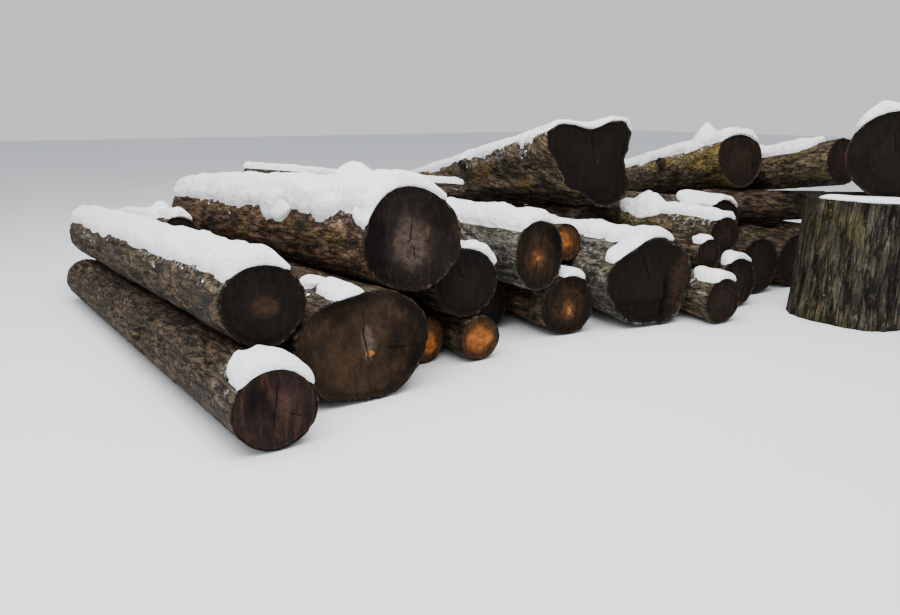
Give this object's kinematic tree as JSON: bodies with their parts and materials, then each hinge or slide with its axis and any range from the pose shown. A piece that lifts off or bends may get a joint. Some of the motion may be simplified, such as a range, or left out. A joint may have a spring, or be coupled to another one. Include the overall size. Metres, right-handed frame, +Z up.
{
  "type": "log heap",
  "caption": "Heap of felled logs of mixed thickness, piled roughly parallel, with weathered sawn ends, a forked butt on top, an upright butt and settled snow.",
  "frame": {"origin": "middle of the heap's footprint, on the ground", "axes": "+Y along the logs away from their sawn near ends, +X across the heap to the right, +Z up"},
  "size_m": [7.1754, 6.1542, 1.6927],
  "materials": {
    "log_wood": "wet weathered bark and grey sawn ends",
    "snow": "settled snow"
  },
  "bodies": {
    "root": {"alder_back": "log_wood", "alder_left": "log_wood", "alder_right": "log_wood", "bearer": "log_wood", "behind": "log_wood", "cross_right": "log_wood", "dark_oval": "log_wood", "flared_butt": "log_wood", "flat_oval": "log_wood", "forked_butt": "log_wood", "front_left": "log_wood", "inner": "log_wood", "left_back": "log_wood", "left_upper": "log_wood", "rear_fork": "log_wood", "rear_right": "log_wood", "rear_top": "log_wood", "red_heart": "log_wood", "right_end": "log_wood", "right_far": "log_wood", "right_low": "log_wood", "right_mid": "log_wood", "right_small": "log_wood", "shaded": "log_wood", "small_round": "log_wood", "snow_cross_right": "snow", "snow_dark_oval": "snow", "snow_flared_butt": "snow", "snow_flat_oval": "snow", "snow_forked_butt": "snow", "snow_front_left": "snow", "snow_left_back": "snow", "snow_left_upper": "snow", "snow_prong": "snow", "snow_rear_fork": "snow", "snow_rear_right": "snow", "snow_rear_top": "snow", "snow_red_heart": "snow", "snow_right_low": "snow", "snow_right_small": "snow", "snow_small_round": "snow", "snow_tall_oval": "snow", "snow_top_big": "snow", "snow_top_right": "snow", "snow_upright_butt": "snow", "tall_oval": "log_wood", "top_big": "log_wood", "top_right": "log_wood", "upright_butt": "log_wood"}
  },
  "joints": []
}
